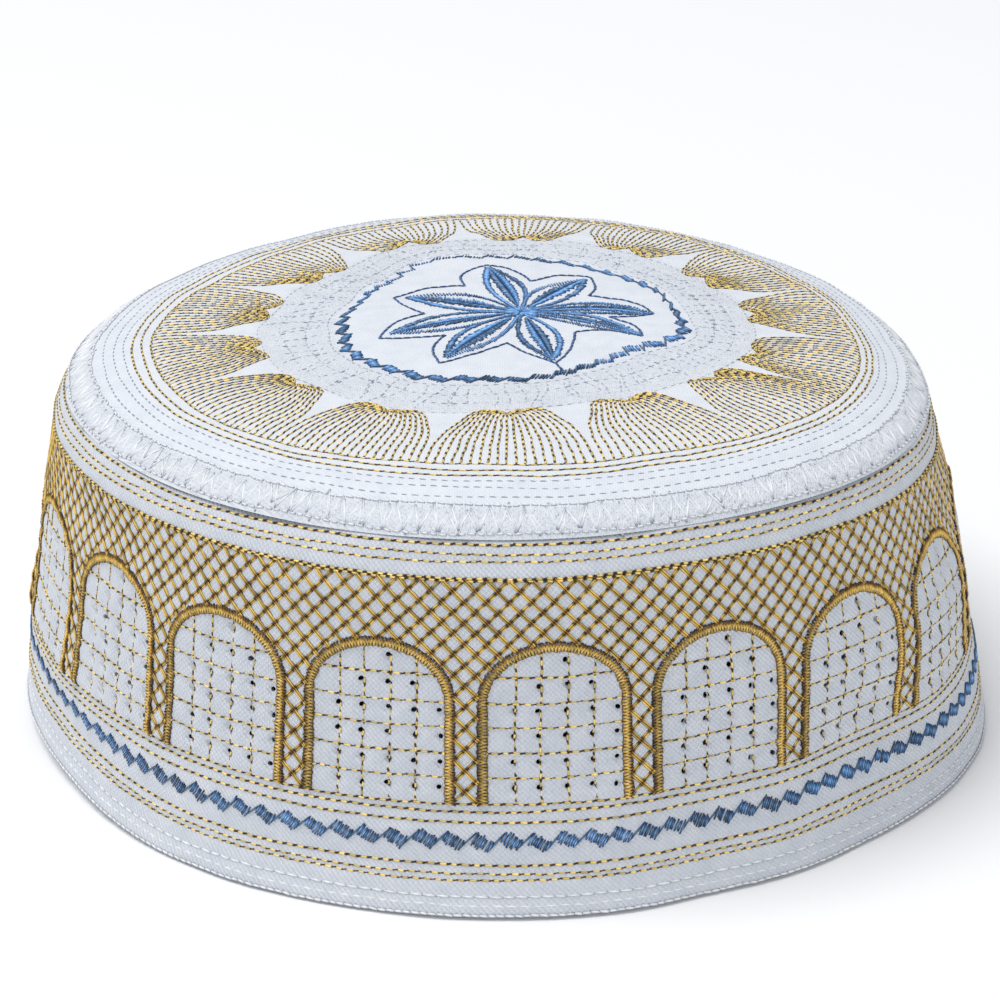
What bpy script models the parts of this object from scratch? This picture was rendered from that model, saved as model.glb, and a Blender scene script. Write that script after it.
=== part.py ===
"""Kufi: a soft round cap of quilted white cotton, embroidered and pierced, standing on its own rim.

Three sewn pieces. The crown top is a padded disc that rolls over the shoulder and ends in a turned-down
hem. The side band flares from under that hem down to the rim, pierced by rows of eyelets. The rim facing
is the narrow band that lines the rim; its lower edge is what the cap stands on.

Metres, +Z up, the origin on the floor under the middle of the rim, the front of the cap towards -Y.
The cap is soft, so its outline is a short table of rings, each with its own reach to the front, right,
back and left, and a second table of the dents and swells that handling has left in it.
"""
import math
from collections import namedtuple

import bmesh
import bpy
from mathutils import Vector

MM = 0.001

# Cloth, in mm. The crown is padded and thins towards its hem, which laps over the band's top edge.
CROWN_WALL = 2.0
CROWN_SHOULDER_WALL = 1.5
CROWN_HEM_WALL = 1.2
BAND_WALL = 2.0
FACING_WALL = 1.3
LAP_GAP = 0.3
SEAM_STEP = 0.6
HEM_LIFT = 0.5

# The fineness of the mesh: one column every 5 degrees, turned so that no column meets an eyelet.
COLUMNS = 72
FIRST_COLUMN_DEG = 2.9

# The outline, in mm: the height of each ring and how far it stands from the crown's axis on four sides.
# The cap leans, so that axis stands a little to the right of and behind the middle of the rim.
CROWN_AXIS_X = 1.4
CROWN_AXIS_Y = 0.3
Ring = namedtuple("Ring", "height front right back left")
OUTLINE = {
    "crown_middle": Ring(76.8, 0.0, 0.0, 0.0, 0.0),
    "flower_ring": Ring(76.3, 34.0, 34.0, 34.0, 34.0),
    "fan_tips": Ring(75.4, 50.0, 50.0, 50.0, 50.0),
    "fan_feet": Ring(74.4, 68.5, 67.2, 67.5, 69.0),
    "crown_lines": Ring(73.2, 74.0, 71.0, 72.5, 74.5),
    "shoulder_top": Ring(71.4, 79.0, 75.6, 77.0, 79.3),
    "shoulder": Ring(68.8, 83.0, 79.0, 81.0, 83.2),
    "crown_hem": Ring(66.9, 84.6, 80.2, 82.8, 84.8),
    "under_hem": Ring(66.2, 85.0, 80.4, 83.2, 85.2),
    "band_lines": Ring(64.0, 86.0, 81.0, 84.3, 86.4),
    "net_top": Ring(61.0, 87.2, 81.5, 85.0, 87.0),
    "arch_tops": Ring(51.0, 87.6, 83.3, 86.4, 88.8),
    "windows_high": Ring(42.0, 88.0, 85.2, 87.7, 90.0),
    "windows_low": Ring(32.0, 88.6, 87.1, 89.1, 91.4),
    "arch_feet": Ring(19.5, 89.9, 89.9, 90.8, 93.2),
    "blue_border": Ring(13.5, 91.0, 91.0, 91.7, 94.0),
    "rim_lines": Ring(7.5, 92.2, 92.3, 92.9, 95.2),
    "rim_fold": Ring(2.5, 94.1, 93.0, 93.9, 96.0),
    "rim": Ring(0.0, 95.0, 93.3, 94.4, 96.5),
}
RING_NAMES = list(OUTLINE)

# Dents and swells, in degrees from the front towards the cap's right side and in mm. Each is strongest
# at its angle and between its two heights, and fades out over half_width and over fade.
Dent = namedtuple("Dent", "angle half_width low high fade push lift")
DENTS = {
    "rim_tucked_up_left": Dent(-74, 34, -5, 9, 12, -1.0, 2.6),
    "rim_flared_right": Dent(64, 27, -5, 30, 22, 2.0, 0.0),
    "corner_right": Dent(54, 40, 40, 72, 24, 3.6, 0.0),
    "flattened_front_left": Dent(-56, 32, 4, 54, 10, -1.5, 0.0),
    "corner_left": Dent(-100, 24, 10, 22, 12, 2.0, 0.0),
    "rim_dented_front_right": Dent(22, 12, -5, 20, 14, -0.9, 0.0),
    "border_dented_right": Dent(45, 14, 12, 20, 14, -1.3, 0.0),
    "crown_slumped_back_right": Dent(122, 66, 62, 80, 14, -3.0, -1.2),
    "crown_slumped_back_left": Dent(-118, 60, 66, 80, 8, -0.4, -0.6),
}
DENT_INNER_RADIUS = 15.0
DENT_FULL_RADIUS = 66.0

# The band is pulled a little round the cap, so its columns crowd towards the front on both sides: by so
# many degrees at the foot and more for each mm of height, strongest at the sides.
CROWDING_ANGLE = 85.0
CROWDING_HALF_WIDTH = 80.0
CROWDING_RIGHT_DEG = 3.0
CROWDING_RIGHT_DEG_PER_MM = 0.045
CROWDING_LEFT_DEG_PER_MM = 0.03

# The pierced windows of the band: 18 arches, each with a net of eyelets. Six of each net are cut here.
ARCH_COUNT = 18
ARCH_PHASE_DEG = 5.1
EYELET_ACROSS_MM = (-7.8, 1.3, 10.7)
EYELET_HEIGHTS_MM = (36.7, 27.3)
EYELET_RADIUS = 0.6
EYELET_SIDES = 6
PUNCH_LENGTH = 8.0


def ease(share):
    """A smooth step from 0 to 1."""
    share = min(max(share, 0.0), 1.0)
    return share * share * (3.0 - 2.0 * share)


def dent_weight(dent, angle_deg, height):
    """How strongly a dent acts at one place, from 0 to 1."""
    apart = abs((angle_deg - dent.angle + 180.0) % 360.0 - 180.0)
    rising = ease((height - dent.low + dent.fade) / dent.fade)
    falling = ease((dent.high + dent.fade - height) / dent.fade)
    return ease(1.0 - apart / dent.half_width) * rising * falling


def crowded(angle_deg, height):
    """Where a column of the band stands once the band has been pulled round the cap."""
    angle_deg = (angle_deg + 180.0) % 360.0 - 180.0
    weight = ease(1.0 - abs(abs(angle_deg) - CROWDING_ANGLE) / CROWDING_HALF_WIDTH)
    if angle_deg > 0:
        return angle_deg - weight * (CROWDING_RIGHT_DEG + CROWDING_RIGHT_DEG_PER_MM * height)
    return angle_deg + weight * CROWDING_LEFT_DEG_PER_MM * height


def outer_point(name, column_deg):
    """The point of the cap's outside on one named ring and one column, in mm."""
    ring = OUTLINE[name]
    angle_deg = crowded(column_deg, ring.height)
    angle = math.radians(angle_deg)
    along, across = math.cos(angle), math.sin(angle)
    lengthwise = ring.front if along > 0 else ring.back
    sideways = ring.right if across > 0 else ring.left
    radius = lengthwise * along ** 2 + sideways * across ** 2
    reach = ease((radius - DENT_INNER_RADIUS) / (DENT_FULL_RADIUS - DENT_INNER_RADIUS))
    push = lift = 0.0
    for dent in DENTS.values():
        weight = reach * dent_weight(dent, angle_deg, ring.height)
        push += weight * dent.push
        lift += weight * dent.lift
    radius += push
    return Vector((CROWN_AXIS_X + radius * across, CROWN_AXIS_Y - radius * along, ring.height + lift))


def outward_normal(name, angle_deg):
    """The cap's outward direction at one place, from the rings above and below it."""
    place = RING_NAMES.index(name)
    above = outer_point(RING_NAMES[max(place - 1, 1)], angle_deg)
    below = outer_point(RING_NAMES[min(place + 1, len(RING_NAMES) - 1)], angle_deg)
    step = 360.0 / COLUMNS
    ahead = outer_point(name, angle_deg + step)
    behind = outer_point(name, angle_deg - step)
    return (above - below).cross(behind - ahead).normalized()


def inset_ring(name, inset, lift=0.0, level=None):
    """One ring of points, inset from the outside by a share of the cloth. level flattens it."""
    points = []
    for column in range(COLUMNS):
        angle_deg = FIRST_COLUMN_DEG + 360.0 * column / COLUMNS
        point = outer_point(name, angle_deg) - outward_normal(name, angle_deg) * inset
        point.z = point.z + lift if level is None else level + rim_lift(angle_deg)
        points.append(point)
    return points


def rim_lift(column_deg):
    """How far the rim's edge is tucked up off the floor."""
    dent = DENTS["rim_tucked_up_left"]
    return dent.lift * dent_weight(dent, crowded(column_deg, 0.0), 0.0)


def add_ring(mesh, points):
    return [mesh.verts.new(point * MM) for point in points]


def bridge(mesh, upper, lower):
    """Faces between two rings of points, facing outwards where upper is above lower."""
    for column in range(COLUMNS):
        following = (column + 1) % COLUMNS
        mesh.faces.new((upper[column], lower[column], lower[following], upper[following]))


def cloth_material(name, colour, roughness):
    material = bpy.data.materials.new(name)
    material.use_nodes = True
    shader = material.node_tree.nodes["Principled BSDF"]
    shader.inputs["Base Color"].default_value = (*colour, 1.0)
    shader.inputs["Roughness"].default_value = roughness
    shader.inputs["Metallic"].default_value = 0.0
    material.diffuse_color = (*colour, 1.0)
    return material


def add_object(name, mesh, material):
    data = bpy.data.meshes.new(name)
    bmesh.ops.recalc_face_normals(mesh, faces=mesh.faces)
    mesh.to_mesh(data)
    mesh.free()
    data.materials.append(material)
    piece = bpy.data.objects.new(name, data)
    bpy.context.collection.objects.link(piece)
    return piece


def make_crown_top(material):
    """The padded disc: down its outside from the middle, round the hem, and back up its inside."""
    names = RING_NAMES[1:RING_NAMES.index("crown_hem") + 1]
    thinning = {"shoulder": CROWN_SHOULDER_WALL, "crown_hem": CROWN_HEM_WALL}
    mesh = bmesh.new()
    outside = [add_ring(mesh, inset_ring(name, 0.0)) for name in names]
    inside = [add_ring(mesh, inset_ring(name, thinning.get(name, CROWN_WALL))) for name in names]
    loops = outside + inside[::-1]
    for upper, lower in zip(loops, loops[1:]):
        bridge(mesh, upper, lower)
    middle = OUTLINE["crown_middle"].height
    for height, rim in ((middle, outside[0]), (middle - CROWN_WALL, inside[0])):
        pole = mesh.verts.new((CROWN_AXIS_X * MM, CROWN_AXIS_Y * MM, height * MM))
        for column in range(COLUMNS):
            mesh.faces.new((pole, rim[column], rim[(column + 1) % COLUMNS]))
    return add_object("crown_top", mesh, material)


def make_band_shell(name, outside, inside, material):
    """A closed band from two lists of rings, both from the top down."""
    mesh = bmesh.new()
    loops = [add_ring(mesh, points) for points in outside + inside[::-1]]
    for upper, lower in zip(loops, loops[1:] + loops[:1]):
        bridge(mesh, upper, lower)
    return add_object(name, mesh, material)


def make_side_band(material):
    """The flared band. Its top edge lies behind the crown's hem, and its lower edge is the rim."""
    lap = LAP_GAP + CROWN_SHOULDER_WALL
    hem_lap = LAP_GAP + CROWN_HEM_WALL
    outside = [inset_ring("shoulder", lap), inset_ring("crown_hem", hem_lap),
               inset_ring("under_hem", SEAM_STEP)]
    below_seam = RING_NAMES[RING_NAMES.index("band_lines"):RING_NAMES.index("rim")]
    outside += [inset_ring(name, 0.0) for name in below_seam]
    outside.append(inset_ring("rim", 0.0, level=HEM_LIFT))
    inside = [inset_ring("shoulder", lap + BAND_WALL), inset_ring("under_hem", hem_lap + BAND_WALL)]
    inner_names = ("band_lines", "net_top", "arch_tops", "windows_high", "windows_low", "arch_feet",
                   "rim_lines")
    inside += [inset_ring(name, BAND_WALL) for name in inner_names]
    inside.append(inset_ring("rim", BAND_WALL, level=HEM_LIFT))
    return make_band_shell("side_band", outside, inside, material)


def make_rim_facing(material):
    """The narrow band inside the rim. It reaches just below the outer cloth, and the cap rests on it."""
    outer_inset = BAND_WALL + LAP_GAP
    inner_inset = outer_inset + FACING_WALL
    names = ("arch_feet", "rim_lines")
    outside = [inset_ring(name, outer_inset) for name in names]
    outside.append(inset_ring("rim", outer_inset, level=0.0))
    inside = [inset_ring(name, inner_inset) for name in names]
    inside.append(inset_ring("rim", inner_inset, level=0.0))
    return make_band_shell("rim_facing", outside, inside, material)


def pierce_eyelets(band):
    """Punch the eyelets through the band with small prisms that point away from the axis."""
    mesh = bmesh.new()
    wall_radius = OUTLINE["windows_low"].front
    punch = EYELET_RADIUS * MM
    for arch in range(ARCH_COUNT):
        for across in EYELET_ACROSS_MM:
            angle_deg = ARCH_PHASE_DEG + 360.0 * arch / ARCH_COUNT + math.degrees(across / wall_radius)
            for height in EYELET_HEIGHTS_MM:
                ring = "windows_high" if height > OUTLINE["windows_low"].height else "windows_low"
                centre = outer_point(ring, angle_deg)
                centre.z = height
                outwards = Vector((centre.x, centre.y, 0.0)).normalized()
                centre = centre - outwards * BAND_WALL / 2
                made = bmesh.ops.create_cone(mesh, cap_ends=True, segments=EYELET_SIDES, radius1=punch,
                                             radius2=punch, depth=PUNCH_LENGTH * MM)
                turn = outwards.to_track_quat("Z", "Y")
                for vertex in made["verts"]:
                    vertex.co = turn @ vertex.co + centre * MM
    punches = add_object("eyelet_punches", mesh, band.data.materials[0])
    punches.hide_render = True
    punches.display_type = "WIRE"
    cut = band.modifiers.new("eyelets", "BOOLEAN")
    cut.operation = "DIFFERENCE"
    cut.solver = "EXACT"
    cut.object = punches


def build():
    for item in list(bpy.data.objects):
        bpy.data.objects.remove(item, do_unlink=True)
    quilted = cloth_material("quilted white cotton", (0.80, 0.83, 0.89), 0.8)
    twill = cloth_material("embroidered white cotton twill", (0.78, 0.81, 0.87), 0.75)
    lining = cloth_material("plain white cotton facing", (0.72, 0.74, 0.78), 0.85)
    make_crown_top(quilted)
    pierce_eyelets(make_side_band(twill))
    make_rim_facing(lining)


build()
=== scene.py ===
# %% [markdown]
# # A kufi, from bare cloth to embroidery
#
# The cap is three sewn pieces of white cotton: a quilted crown, a pierced side band and a narrow facing
# inside the rim. Everything else on it is thread. This lesson loads the plain solids as a fixed frame,
# wraps finely meshed cloth round them, and then sews more than twenty thousand stitches on that cloth.

# %% Load the frame
import math
from collections import namedtuple

import bmesh
import bpy
import numpy as np
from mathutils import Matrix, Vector
from mathutils.kdtree import KDTree


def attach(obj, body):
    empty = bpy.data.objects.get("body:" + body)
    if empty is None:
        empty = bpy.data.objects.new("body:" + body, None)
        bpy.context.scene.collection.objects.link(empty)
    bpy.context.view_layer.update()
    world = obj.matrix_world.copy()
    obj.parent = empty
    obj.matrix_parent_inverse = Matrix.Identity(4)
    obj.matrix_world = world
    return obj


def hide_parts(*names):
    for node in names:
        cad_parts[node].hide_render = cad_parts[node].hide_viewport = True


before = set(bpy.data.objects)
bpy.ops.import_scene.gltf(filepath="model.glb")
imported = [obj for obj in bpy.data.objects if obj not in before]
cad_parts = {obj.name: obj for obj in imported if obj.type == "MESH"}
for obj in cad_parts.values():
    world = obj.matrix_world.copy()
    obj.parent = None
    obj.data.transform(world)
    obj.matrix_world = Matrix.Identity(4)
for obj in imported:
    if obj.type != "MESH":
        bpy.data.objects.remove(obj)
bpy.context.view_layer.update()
MM = 0.001
rng = np.random.default_rng(18)
print("nodes in the frame:", sorted(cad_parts))

# %% [markdown]
# ## The shape of the cap
#
# A cap that has been packed and handled isn't round. It could be modelled as a lathe shape with sculpted
# dents, but the cloth and the stitches must agree to a tenth of a millimetre, so the shape is a function
# that both of them ask. It is the frame's own outline: rings at measured heights, each with its reach to
# the front, right, back and left, and a few named dents. Here the rings are joined by smooth curves,
# where the solids have straight facets.

# %% The outline's rings and dents, in mm and degrees
Ring = namedtuple("Ring", "height front right back left")
OUTLINE = (
    Ring(76.8, 0.0, 0.0, 0.0, 0.0),
    Ring(76.3, 34.0, 34.0, 34.0, 34.0),
    Ring(75.4, 50.0, 50.0, 50.0, 50.0),
    Ring(74.4, 68.5, 67.2, 67.5, 69.0),
    Ring(73.2, 74.0, 71.0, 72.5, 74.5),
    Ring(71.4, 79.0, 75.6, 77.0, 79.3),
    Ring(68.8, 83.0, 79.0, 81.0, 83.2),
    Ring(66.9, 84.6, 80.2, 82.8, 84.8),
    Ring(66.2, 85.0, 80.4, 83.2, 85.2),
    Ring(64.0, 86.0, 81.0, 84.3, 86.4),
    Ring(61.0, 87.2, 81.5, 85.0, 87.0),
    Ring(51.0, 87.6, 83.3, 86.4, 88.8),
    Ring(42.0, 88.0, 85.2, 87.7, 90.0),
    Ring(32.0, 88.6, 87.1, 89.1, 91.4),
    Ring(19.5, 89.9, 89.9, 90.8, 93.2),
    Ring(13.5, 91.0, 91.0, 91.7, 94.0),
    Ring(7.5, 92.2, 92.3, 92.9, 95.2),
    Ring(2.5, 94.1, 93.0, 93.9, 96.0),
    Ring(0.0, 95.0, 93.3, 94.4, 96.5),
)
CROWN_AXIS = np.array((1.4, 0.3, 0.0))

Dent = namedtuple("Dent", "angle half_width low high fade push lift")
RIM_TUCK = Dent(-74, 34, -5, 9, 12, -1.0, 2.6)
DENTS = (
    RIM_TUCK,
    Dent(64, 27, -5, 30, 22, 2.0, 0.0),
    Dent(54, 40, 40, 72, 24, 3.6, 0.0),
    Dent(-56, 32, 4, 54, 10, -1.5, 0.0),
    Dent(-100, 24, 10, 22, 12, 2.0, 0.0),
    Dent(22, 12, -5, 20, 14, -0.9, 0.0),
    Dent(45, 14, 12, 20, 14, -1.3, 0.0),
    Dent(122, 66, 62, 80, 14, -3.0, -1.2),
    Dent(-118, 60, 66, 80, 8, -0.4, -0.6),
)
DENT_INNER_RADIUS = 15.0
DENT_FULL_RADIUS = 66.0

CROWDING_ANGLE = 85.0
CROWDING_HALF_WIDTH = 80.0
CROWDING_RIGHT = 3.0
CROWDING_RIGHT_PER_MM = 0.045
CROWDING_LEFT_PER_MM = 0.03


def ease(share):
    share = np.clip(share, 0.0, 1.0)
    return share * share * (3.0 - 2.0 * share)


def dent_weight(dent, angle, height):
    apart = np.abs((angle - dent.angle + 180.0) % 360.0 - 180.0)
    rising = ease((height - dent.low + dent.fade) / dent.fade)
    falling = ease((dent.high + dent.fade - height) / dent.fade)
    return ease(1.0 - apart / dent.half_width) * rising * falling


def crowded(angle, height):
    """Where a column of the band stands once the band has been pulled round the cap."""
    angle = (np.asarray(angle, float) + 180.0) % 360.0 - 180.0
    weight = ease(1.0 - np.abs(np.abs(angle) - CROWDING_ANGLE) / CROWDING_HALF_WIDTH)
    return angle + weight * np.where(angle > 0, -CROWDING_RIGHT - CROWDING_RIGHT_PER_MM * height,
                                     CROWDING_LEFT_PER_MM * height)


def smooth_rings(count=3000):
    """The outline's rings joined by cubic curves, as many close rings, with the run of cloth to each."""
    rings = np.array(OUTLINE)
    run = np.concatenate(([0.0], np.cumsum(np.hypot(np.diff(rings[:, 0]), np.diff(rings[:, 1])))))
    slope = np.gradient(rings, run, axis=0)
    slope[0, 0] = 0.0
    fine = np.linspace(0.0, run[-1], count)
    place = np.clip(np.searchsorted(run, fine, side="right") - 1, 0, len(run) - 2)
    length = (run[place + 1] - run[place])[:, None]
    share = (fine - run[place])[:, None] / length
    from_start = 1 - 3 * share ** 2 + 2 * share ** 3
    leaving = share * (1 - share) ** 2 * length
    arriving = share ** 2 * (share - 1) * length
    rings = (rings[place] * from_start + rings[place + 1] * (1 - from_start)
             + slope[place] * leaving + slope[place + 1] * arriving)
    return fine, rings


RUN, RINGS = smooth_rings()
FULL_RUN = RUN[-1]
print("cloth from the crown's middle to the rim:", round(FULL_RUN, 1), "mm")


def run_at_height(height):
    """The run of cloth down to a height of the band."""
    return np.interp(-np.asarray(height, float), -RINGS[:, 0], RUN)


def run_at_radius(radius):
    """The run of cloth out to a radius of the crown, taken at the front."""
    return np.interp(radius, RINGS[:, 1], RUN)


def outside(angle, run):
    """Points of the cap's outside, in mm, for angles from the front in degrees and runs of cloth."""
    height, front, right, back, left = (np.interp(run, RUN, RINGS[:, k]) for k in range(5))
    turn = np.radians(angle)
    along, across = np.cos(turn), np.sin(turn)
    radius = np.where(along > 0, front, back) * along ** 2 + np.where(across > 0, right, left) * across ** 2
    reach = ease((radius - DENT_INNER_RADIUS) / (DENT_FULL_RADIUS - DENT_INNER_RADIUS))
    push, lift = 0.0, 0.0
    for dent in DENTS:
        weight = reach * dent_weight(dent, angle, height)
        push = push + weight * dent.push
        lift = lift + weight * dent.lift
    radius = radius + push
    return np.stack((radius * across, -radius * along, height + lift), axis=-1) + CROWN_AXIS


def outward(angle, run):
    """The directions in which the cap's outside faces."""
    run = np.maximum(run, 0.5)
    down = outside(angle, np.minimum(run + 0.6, FULL_RUN)) - outside(angle, run - 0.4)
    onward = outside(angle + 1.0, run) - outside(angle - 1.0, run)
    facing = np.cross(down, onward)
    return facing / np.linalg.norm(facing, axis=-1, keepdims=True)


# %% [markdown]
# ## Where the embroidery runs
#
# Thread pulls cloth down along each line of stitches and lets it puff up between them. So the lines are
# set out first, in the cloth's own measures: degrees round the cap, heights up the band, and radii on the
# crown. The cloth's relief and the stitches both read them.
#
# On a handled cap the pattern isn't quite round. A table of pulls says how far the crown's ring, fans and
# gold lines lie outside their drawn radius at each angle, and how far the fans are turned.

# %% The layout of the embroidery, in mm and degrees
BAND_GOLD_LINES = (66.6, 65.1, 63.9, 19.8, 18.5, 16.6, 9.0, 7.45, 6.45)
NET_TOP = 61.1
HEM_LINES = (3.8, 2.25)
CROWN_GOLD_RINGS = (69.0, 70.7, 72.3)
CROWN_WHITE_RINGS = (73.7, 75.4, 77.5)
SEAM_INNER, SEAM_OUTER = 79.7, 83.5
QUILT_RINGS = (36.6, 40.6, 44.6, 48.3)

ARCH_COUNT = 18
ARCH_PHASE = 5.1
ARCH_STEP = 360.0 / ARCH_COUNT
ARCH_HALF_WIDTH = 12.75
ARCH_SPRING = 38.6
ARCH_TOP = 48.9
ARCH_FOOT = 19.9
BORDER_WIDTH = 1.75
MM_PER_DEGREE = 1.555

GRID_UPRIGHTS = (-7.0, -2.6, 2.2, 6.9)
GRID_LEVELS = (43.3, 38.4, 33.9, 29.1, 24.6)
EYELET_COLUMNS = (-7.35, -3.0, 1.8, 6.45, 11.0)
EYELET_ROWS = {46.3: (2,), 41.5: (1, 2, 3), 36.7: range(5), 32.1: range(5), 27.3: range(5), 22.7: range(5)}
EYELET_RADIUS = 0.45

NET_CELLS = 144
NET_STEP = 360.0 / NET_CELLS
NET_DROP = 1.95

Pull = namedtuple("Pull", "angle turn ring fans gold")
PULLS = (
    Pull(-180, -3.5, 0.8, -0.2, -3.0),
    Pull(-157, -2.5, 3.5, 1.5, -5.0),
    Pull(-130, 1.5, -3.2, -3.7, -5.2),
    Pull(-105, 3.5, -4.2, -2.4, -3.4),
    Pull(-80, 4.5, -2.4, -0.3, -1.4),
    Pull(-50, 2.5, 0.7, 0.8, 0.3),
    Pull(-25, 1.0, 0.5, 0.8, 0.3),
    Pull(0, 0.1, -1.5, -2.0, -0.4),
    Pull(25, 1.5, -3.4, -3.2, -0.4),
    Pull(50, -0.5, -5.3, -3.2, -0.7),
    Pull(75, -8.0, -0.2, -1.4, -0.9),
    Pull(100, -7.5, -1.3, -0.6, -1.0),
    Pull(125, -5.0, -0.3, -0.8, -2.0),
    Pull(150, -3.5, -0.5, 2.0, -2.0),
    Pull(180, -3.5, 0.8, -0.2, -3.0),
)
PULL_RADII = (20.0, 34.2, 50.2, 69.0, 83.0)

arch_angles = ARCH_PHASE + ARCH_STEP * np.arange(ARCH_COUNT)
eyelets = np.array([(angle + EYELET_COLUMNS[column] / MM_PER_DEGREE, height)
                    for angle in arch_angles for height, columns in EYELET_ROWS.items()
                    for column in columns])
eyelets += rng.normal(0.0, 0.12, eyelets.shape)
eyelets[:, 0] = (eyelets[:, 0] + 180.0) % 360.0 - 180.0
print("eyelets:", len(eyelets))


def pulls_at(angle):
    """The crown's pulls at any angle, eased from one row of the table to the next."""
    rows = np.array(PULLS)
    angle = (np.asarray(angle, float) + 180.0) % 360.0 - 180.0
    after = np.clip(np.searchsorted(rows[:, 0], angle, side="right"), 1, len(rows) - 1)
    share = ease((angle - rows[after - 1, 0]) / (rows[after, 0] - rows[after - 1, 0]))[..., None]
    return np.moveaxis(rows[after - 1] * (1.0 - share) + rows[after] * share, -1, 0)[1:]


def pull_out(angle, radius):
    """How far the crown's pattern lies outside its drawn radius."""
    _, ring, fans, gold = pulls_at(angle)
    return (np.interp(radius, PULL_RADII, (0, 1, 0, 0, 0)) * ring
            + np.interp(radius, PULL_RADII, (0, 0, 1, 0, 0)) * fans
            + np.interp(radius, PULL_RADII, (0, 0, 0, 1, 0)) * gold)


def drawn_radius(angle, radius):
    """The radius at which the pattern was drawn that now lies at a radius of the crown."""
    drawn = radius
    for _ in range(6):
        drawn = radius - pull_out(angle, drawn)
    return drawn


def arch_distance(angle, height):
    """How far a place on the band lies outside the middle of its arch's border; inside is negative."""
    across = ((angle - ARCH_PHASE + ARCH_STEP / 2) % ARCH_STEP - ARCH_STEP / 2) * MM_PER_DEGREE
    rise = np.maximum(height - ARCH_SPRING, 0.0)
    reach = np.hypot(across, rise)
    share = np.hypot(across / ARCH_HALF_WIDTH, rise / (ARCH_TOP - ARCH_SPRING))
    return np.where(height > ARCH_SPRING, reach * (1.0 - 1.0 / np.maximum(share, 1e-6)),
                    np.abs(across) - ARCH_HALF_WIDTH)


def groove(distance, width):
    return np.exp(-(distance / width) ** 2)


def soft_waves(angle, height, size):
    """The slow unevenness of handled cloth."""
    turn = np.radians(angle)
    waves = (np.sin(5 * turn + 0.11 * height + 0.7) + 0.8 * np.sin(9 * turn - 0.16 * height + 2.1)
             + 0.6 * np.sin(17 * turn + 0.23 * height + 4.0) + 0.4 * np.sin(31 * turn - 0.31 * height))
    return size * waves


def band_relief(angle, height):
    """How far the band's cloth stands from the plain outline, in mm."""
    relief = soft_waves(angle, height, 0.12)
    for line in BAND_GOLD_LINES + HEM_LINES:
        relief = relief - 0.22 * groove(height - line, 0.55)
    border = arch_distance(angle, height)
    inside_net = (height < NET_TOP) & (height > ARCH_FOOT) & (border > 0)
    column = angle / NET_STEP
    row = (NET_TOP - height) / (2 * NET_DROP)
    strand_a = np.abs((column + row + 0.5) % 1.0 - 0.5)
    strand_b = np.abs((column - row + 0.5) % 1.0 - 0.5)
    puff = np.minimum(strand_a, strand_b) * 2
    relief = relief + np.where(inside_net, 0.34 * ease(puff) - 0.16, 0.0)
    across = ((angle - ARCH_PHASE + ARCH_STEP / 2) % ARCH_STEP - ARCH_STEP / 2) * MM_PER_DEGREE
    inside_window = (height > ARCH_FOOT) & (height < ARCH_TOP) & (border < -0.8)
    lines = np.zeros_like(relief)
    for upright in GRID_UPRIGHTS:
        lines = np.maximum(lines, groove(across - upright, 0.8))
    for level in GRID_LEVELS:
        lines = np.maximum(lines, groove(height - level, 0.8))
    relief = relief + np.where(inside_window, 0.12 - 0.28 * lines, 0.0)
    punched = np.full_like(relief, 9.0)
    for level, columns in EYELET_ROWS.items():
        for column in columns:
            punched = np.minimum(punched, np.hypot(across - EYELET_COLUMNS[column], height - level))
    relief = relief - 0.9 * groove(punched, 0.75)
    relief = relief + np.where((height > ARCH_FOOT) & (height < NET_TOP), 0.12 * groove(border, 0.9), 0.0)
    relief = relief + 0.22 * groove(height - 1.3, 0.6) - 0.5 * ease((0.9 - height) / 0.9)
    return relief


def crown_relief(angle, radius):
    """How far the crown's cloth stands from the plain outline, in mm."""
    calm = ease((radius - 4.0) / 30.0)
    relief = soft_waves(angle, radius, 0.13) * calm
    for ring in CROWN_GOLD_RINGS + CROWN_WHITE_RINGS + QUILT_RINGS:
        relief = relief - 0.2 * groove(radius - ring, 0.6)
    relief = relief - 0.25 * groove(radius - 34.2, 1.6) + 0.25 * groove(radius - 52.0, 3.5)
    return relief + 0.12 - 0.08 * ease((radius - 83.5) / 0.8)


# %% Cloth points in millimetres
def on_band(angle, height, proud=0.0):
    """Points on the band's finished cloth, and the directions it faces there, in mm."""
    run = run_at_height(height)
    place = crowded(angle, height)
    facing = outward(place, run)
    return outside(place, run) + facing * np.expand_dims(band_relief(angle, height) + proud, -1), facing


def on_crown(angle, radius, proud=0.0):
    """Points on the crown's finished cloth, and the directions it faces there, in mm."""
    run = run_at_radius(radius + pull_out(angle, radius))
    facing = outward(angle, run)
    return outside(angle, run) + facing * np.expand_dims(crown_relief(angle, radius) + proud, -1), facing


# %% [markdown]
# ## Finishes
#
# The cap has two kinds of finish, cotton cloth and embroidery thread. Cotton is matt, with a soft glow at
# grazing angles from its loose fibres. The coloured thread is filament rayon: it lies in smooth parallel
# strands, so it flashes bright along its back and falls dark where it dives into the cloth. Both are also
# painted into its colour, as a painted highlight on the back and painted shade at the dives. All
# patterns follow the cloth or the thread, through UV maps whose unit is a millimetre of cloth or one stitch.

# %% Colour and node helpers
def linear(code):
    """An sRGB hex value as a linear colour."""
    channels = [int(code[k:k + 2], 16) / 255 for k in (1, 3, 5)]
    return [c / 12.92 if c <= 0.04045 else ((c + 0.055) / 1.055) ** 2.4 for c in channels] + [1.0]


def add_node(material, kind, settings=(), links=()):
    """Add a node, set its properties and sockets, and link its inputs from other nodes' outputs."""
    node = material.node_tree.nodes.new(kind)
    for name, value in dict(settings).items():
        if isinstance(name, int) or name in node.inputs:
            node.inputs[name].default_value = value
        else:
            setattr(node, name, value)
    for socket, source in dict(links).items():
        material.node_tree.links.new(source, node.inputs[socket])
    return node


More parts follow.
